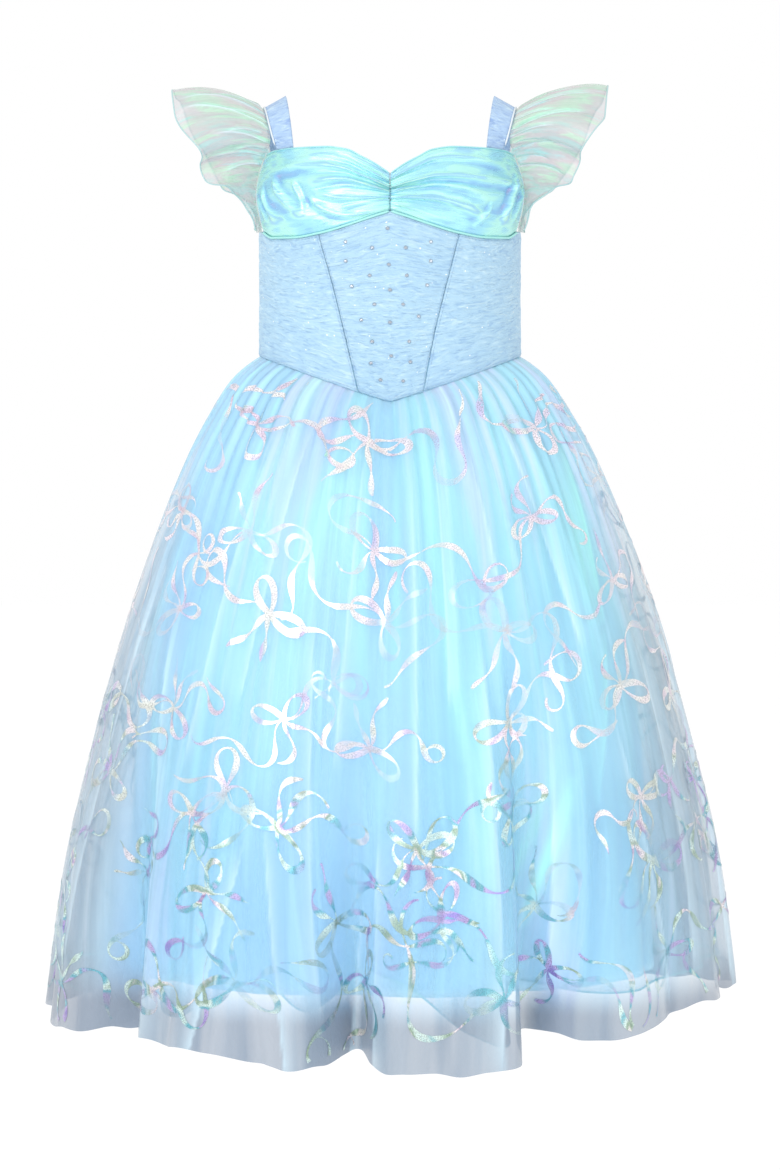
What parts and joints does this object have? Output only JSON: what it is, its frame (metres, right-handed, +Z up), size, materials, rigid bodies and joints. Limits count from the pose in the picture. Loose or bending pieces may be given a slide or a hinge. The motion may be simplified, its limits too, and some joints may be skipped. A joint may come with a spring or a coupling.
{
  "type": "tulle dress",
  "caption": "Child's princess costume dress with draped sweetheart cups, pointed waist, wing ruffles and a full gathered sheer skirt over a film layer and a lining.",
  "frame": {"origin": "between the tops of the two shoulder straps, where a wearer or a hanger holds the dress up", "axes": "+Z up along the dress, -Y out of its front, +X to the right of someone who looks at the front"},
  "size_m": [0.5977, 0.4958, 0.8058],
  "materials": {
    "bodice": "crinkled stretch fabric, satin",
    "cups": "iridescent lame, glossy",
    "ruffle": "sheer iridescent organza",
    "sheer": "sheer organza with foil print",
    "film": "sheer iridescent organza",
    "lining": "plain satin lining"
  },
  "bodies": {
    "root": {"centre_front": "bodice", "side_front_left": "bodice", "side_front_right": "bodice", "back_panel": "bodice", "cup_left": "cups", "cup_right": "cups", "strap_left": "bodice", "strap_right": "bodice", "sleeve_left": "ruffle", "sleeve_right": "ruffle", "overskirt_front": "sheer", "overskirt_back": "sheer", "film_layer_front": "film", "film_layer_back": "film", "lining_front": "lining", "lining_back": "lining"}
  },
  "joints": []
}
